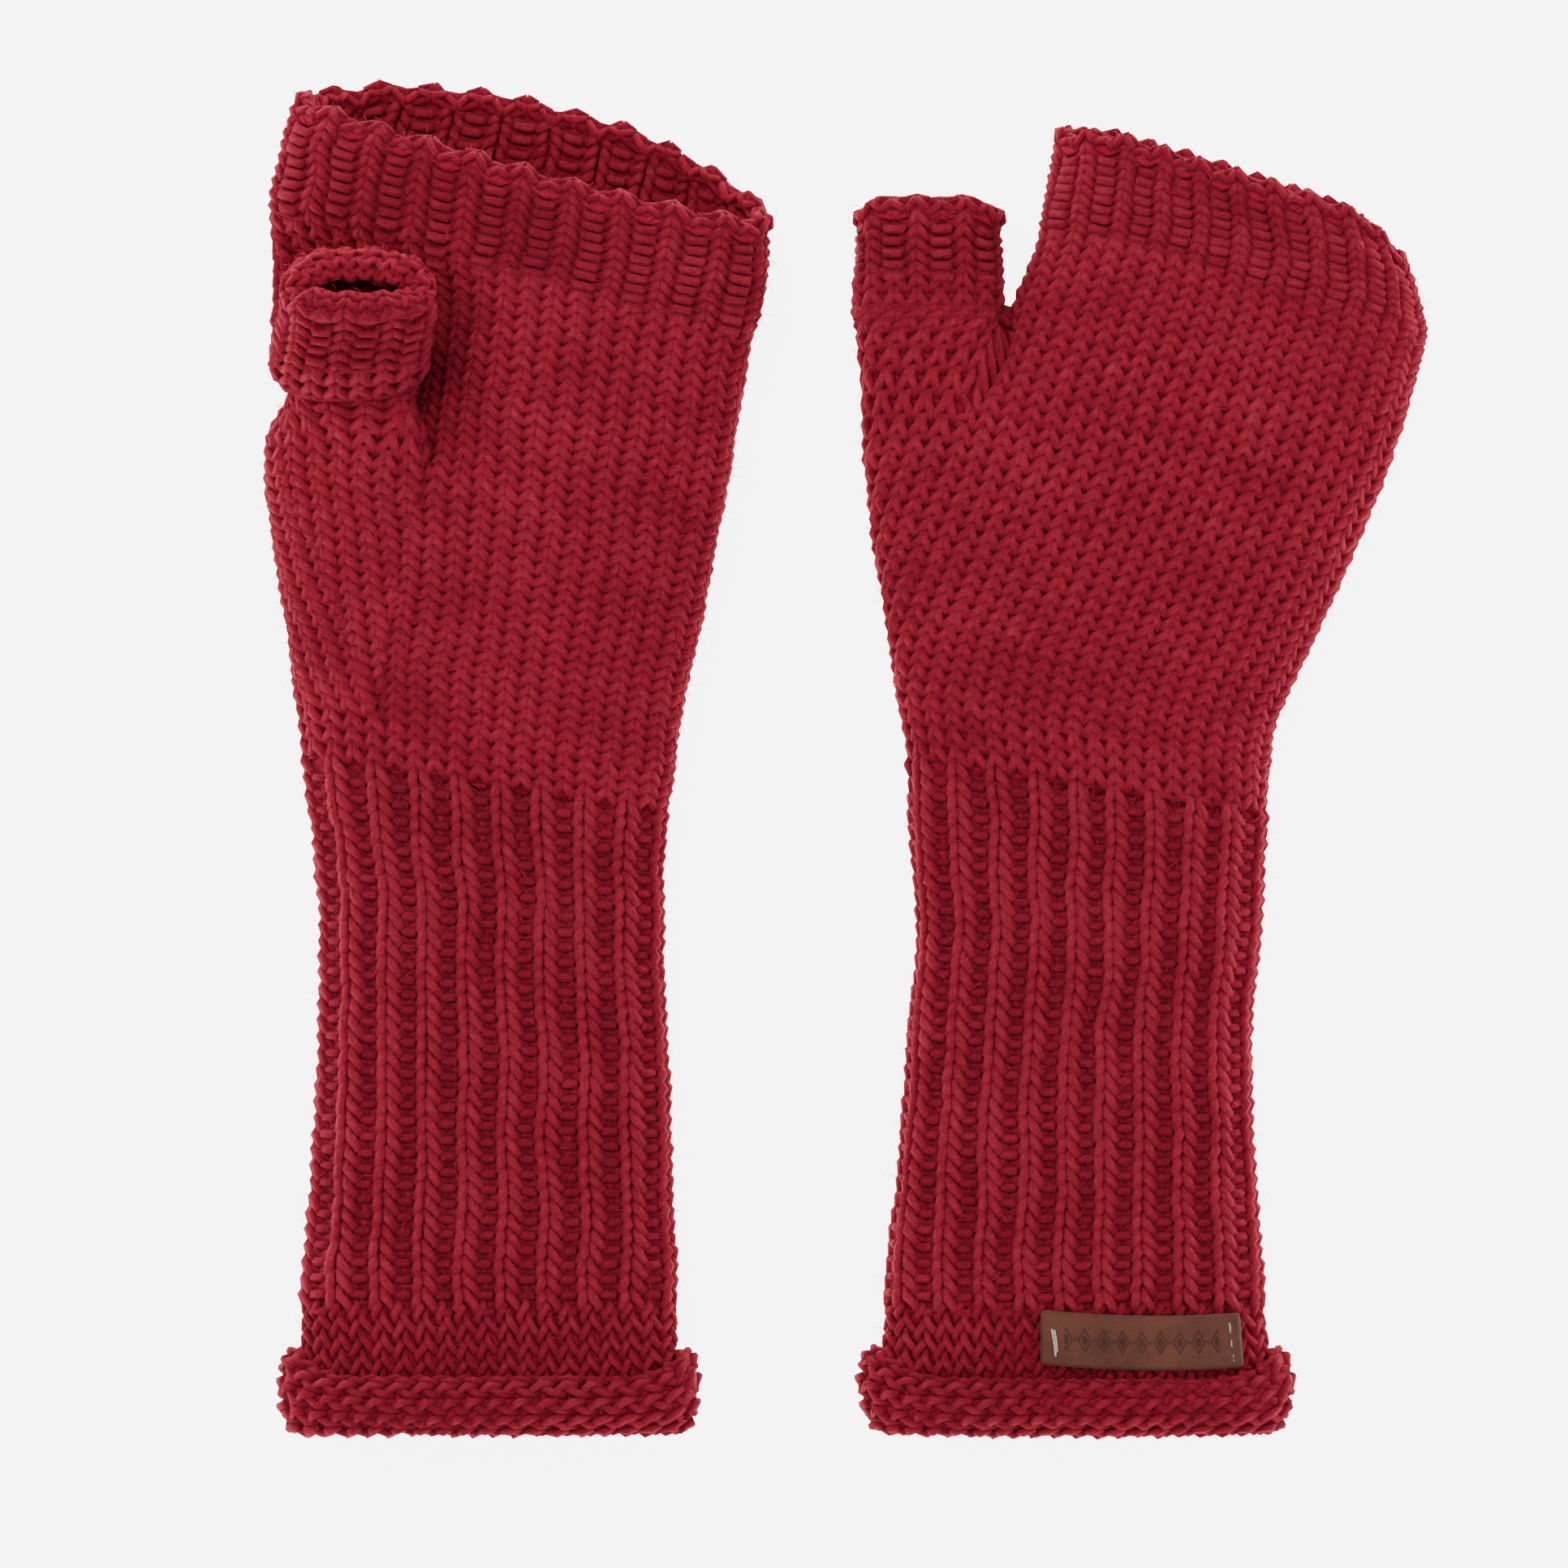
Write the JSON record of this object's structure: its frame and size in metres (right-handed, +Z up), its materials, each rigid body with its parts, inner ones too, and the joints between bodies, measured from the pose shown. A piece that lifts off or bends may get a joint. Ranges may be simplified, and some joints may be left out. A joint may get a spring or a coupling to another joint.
{
  "type": "pair of knitted fingerless gloves",
  "caption": "Pair of long hand-warmers knitted in thick red yarn, with ribbed forearms, rolled hems, thumb sleeves, open fingers and a leather label.",
  "frame": {"origin": "middle of the pair's box, on the surface the gloves lie on", "axes": "+X from the left glove to the right glove, +Y from the hems to the fingers, +Z up from the surface"},
  "size_m": [0.2656, 0.3102, 0.0516],
  "materials": {
    "plain_knit_yarn": "matte, soft plied yarn in plain knitting with a short fuzz",
    "rib_yarn": "matte, soft plied yarn in a one by one rib",
    "hem_yarn": "matte, soft plied yarn rolled with its purl side out",
    "cast_off_yarn": "matte, soft plied yarn in a chain of cast-off stitches",
    "label_leather": "brown napped leather with darker cut edges",
    "label_thread": "thin pale sewing thread"
  },
  "bodies": {
    "left_forearm": {"left_rolled_hem": "hem_yarn", "left_forearm_rib": "rib_yarn", "left_wrist_rows": "plain_knit_yarn"},
    "left_hand": {"left_palm_section": "plain_knit_yarn", "left_thumb_gusset": "plain_knit_yarn", "left_finger_section": "plain_knit_yarn", "left_finger_band": "rib_yarn", "left_finger_cast_off": "cast_off_yarn", "left_thumb_root": "plain_knit_yarn"},
    "left_thumb": {"left_thumb_band": "rib_yarn", "left_thumb_cast_off": "cast_off_yarn"},
    "right_forearm": {"right_rolled_hem": "hem_yarn", "right_forearm_rib": "rib_yarn", "right_wrist_rows": "plain_knit_yarn", "leather_label": "label_leather", "label_thread_left": "label_thread", "label_thread_right": "label_thread"},
    "right_hand": {"right_palm_section": "plain_knit_yarn", "right_thumb_gusset": "plain_knit_yarn", "right_finger_section": "plain_knit_yarn", "right_finger_band": "rib_yarn", "right_finger_cast_off": "cast_off_yarn", "right_thumb_root": "plain_knit_yarn"},
    "right_thumb": {"right_thumb_band": "rib_yarn", "right_thumb_cast_off": "cast_off_yarn"}
  },
  "joints": [
    {"name": "right_glove_slide", "type": "slide", "parent": "left_forearm", "child": "right_forearm", "axis": [1, 0, 0], "range_m": [0, 0.12]},
    {"name": "left_wrist_bend", "type": "hinge", "parent": "left_forearm", "child": "left_hand", "pos_m": [-0.0808, -0.0022, 0.013], "axis": [0.9842, -0.1772, 0], "range_deg": [0, 40], "deforming": ["left_wrist_rows"]},
    {"name": "left_thumb_swing", "type": "hinge", "parent": "left_hand", "child": "left_thumb", "pos_m": [-0.1123, 0.09, 0.02805], "axis": [1, 0, 0], "range_deg": [-14, 22], "stiffness_Nm_per_rad": 0.05, "deforming": ["left_thumb_root"]},
    {"name": "right_wrist_bend", "type": "hinge", "parent": "right_forearm", "child": "right_hand", "pos_m": [0.0532, -0.0017, 0.013], "axis": [0.9859, -0.1676, 0], "range_deg": [0, 40], "deforming": ["right_wrist_rows"]},
    {"name": "right_thumb_swing", "type": "hinge", "parent": "right_hand", "child": "right_thumb", "pos_m": [0.0192, 0.1046, 0.0124], "axis": [0, 0, 1], "range_deg": [-4, 16], "stiffness_Nm_per_rad": 0.05, "deforming": ["right_thumb_root"]}
  ]
}
